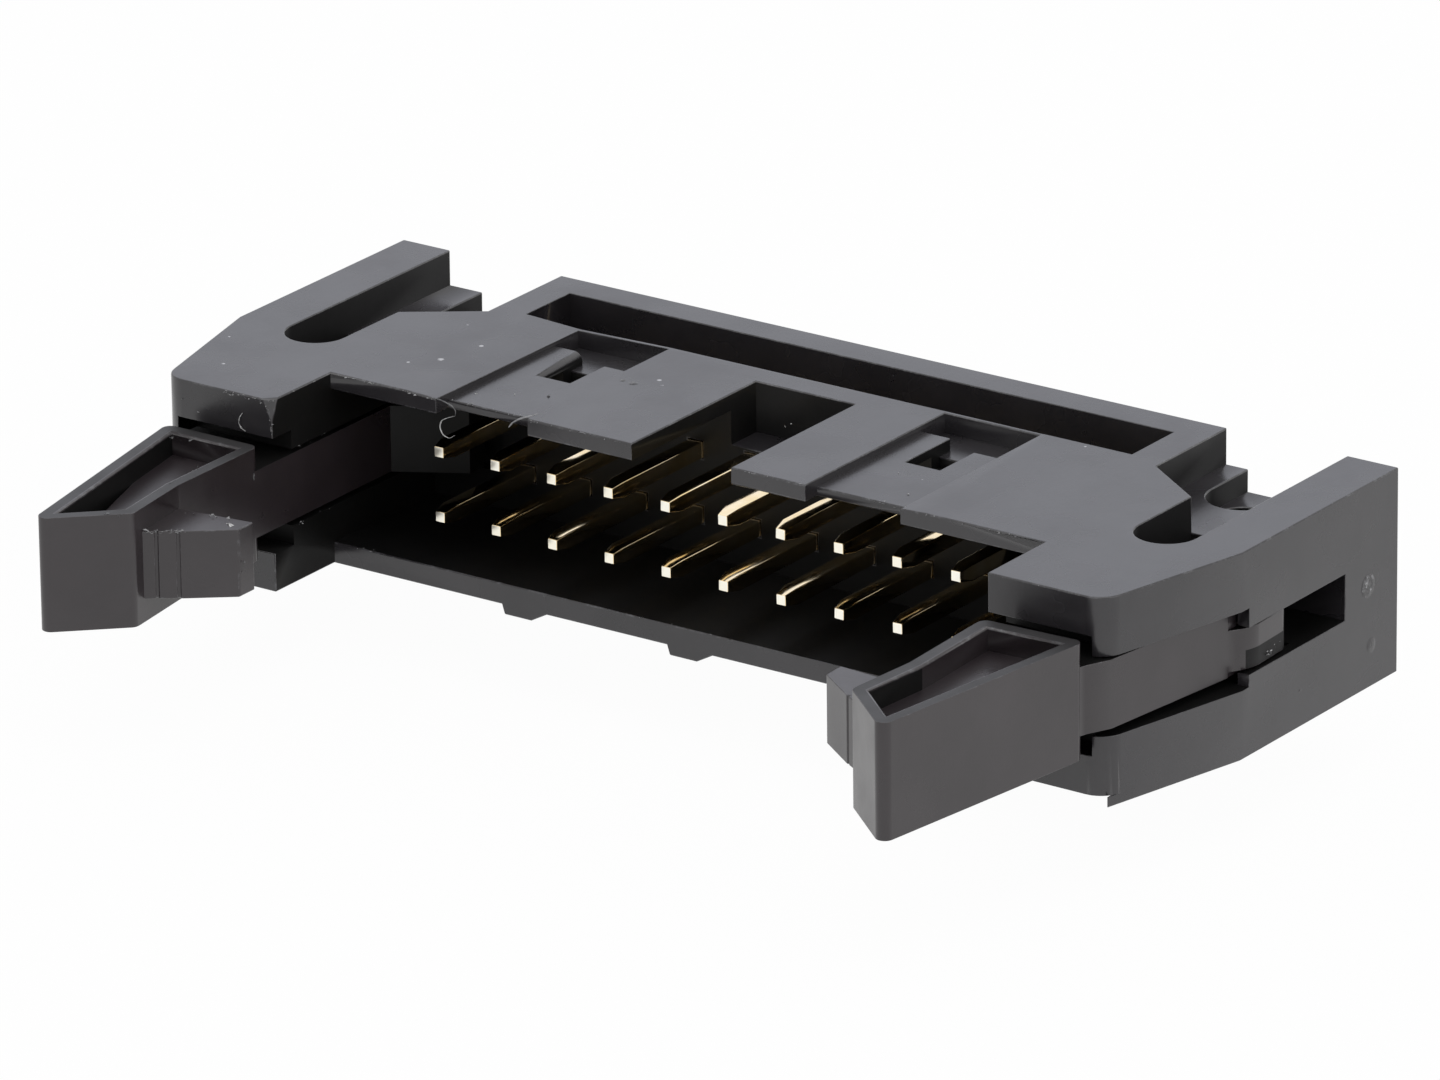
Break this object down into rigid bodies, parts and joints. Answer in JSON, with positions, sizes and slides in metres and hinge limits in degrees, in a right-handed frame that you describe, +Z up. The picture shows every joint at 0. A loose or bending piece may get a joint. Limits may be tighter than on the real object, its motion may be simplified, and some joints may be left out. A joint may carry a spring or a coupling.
{
  "type": "idc box header",
  "caption": "Right-angle shrouded box header with a polarising slot, square pins, rear tails for a board and two swinging ejector latches at the ends.",
  "frame": {"origin": "the middle of the tail grid, in the plane of the board that the feet stand on", "axes": "+X along the pin rows, +Z up from the board to the slotted wall, -Y out of the mouth to the plug"},
  "size_m": [0.0444, 0.0277, 0.0109],
  "materials": {
    "housing_plastic": "satin, glass-filled",
    "latch_plastic": "satin, glass-filled",
    "pin_metal": "gold plated"
  },
  "bodies": {
    "housing": {"housing": "housing_plastic", "pin_upper_01": "pin_metal", "pin_upper_02": "pin_metal", "pin_upper_03": "pin_metal", "pin_upper_04": "pin_metal", "pin_upper_05": "pin_metal", "pin_upper_06": "pin_metal", "pin_upper_07": "pin_metal", "pin_upper_08": "pin_metal", "pin_upper_09": "pin_metal", "pin_upper_10": "pin_metal", "pin_lower_01": "pin_metal", "pin_lower_02": "pin_metal", "pin_lower_03": "pin_metal", "pin_lower_04": "pin_metal", "pin_lower_05": "pin_metal", "pin_lower_06": "pin_metal", "pin_lower_07": "pin_metal", "pin_lower_08": "pin_metal", "pin_lower_09": "pin_metal", "pin_lower_10": "pin_metal"},
    "latch_left": {"latch_left": "latch_plastic"},
    "latch_right": {"latch_right": "latch_plastic"}
  },
  "joints": [
    {"name": "latch_right_hinge", "type": "hinge", "parent": "housing", "child": "latch_right", "pos_m": [0.0188, -0.00663, 0.00427], "axis": [0, 0, 1], "range_deg": [-2.4, 22]},
    {"name": "latch_left_hinge", "type": "hinge", "parent": "housing", "child": "latch_left", "pos_m": [-0.0188, -0.00663, 0.00412], "axis": [0, 0, -1], "range_deg": [0, 24]}
  ]
}
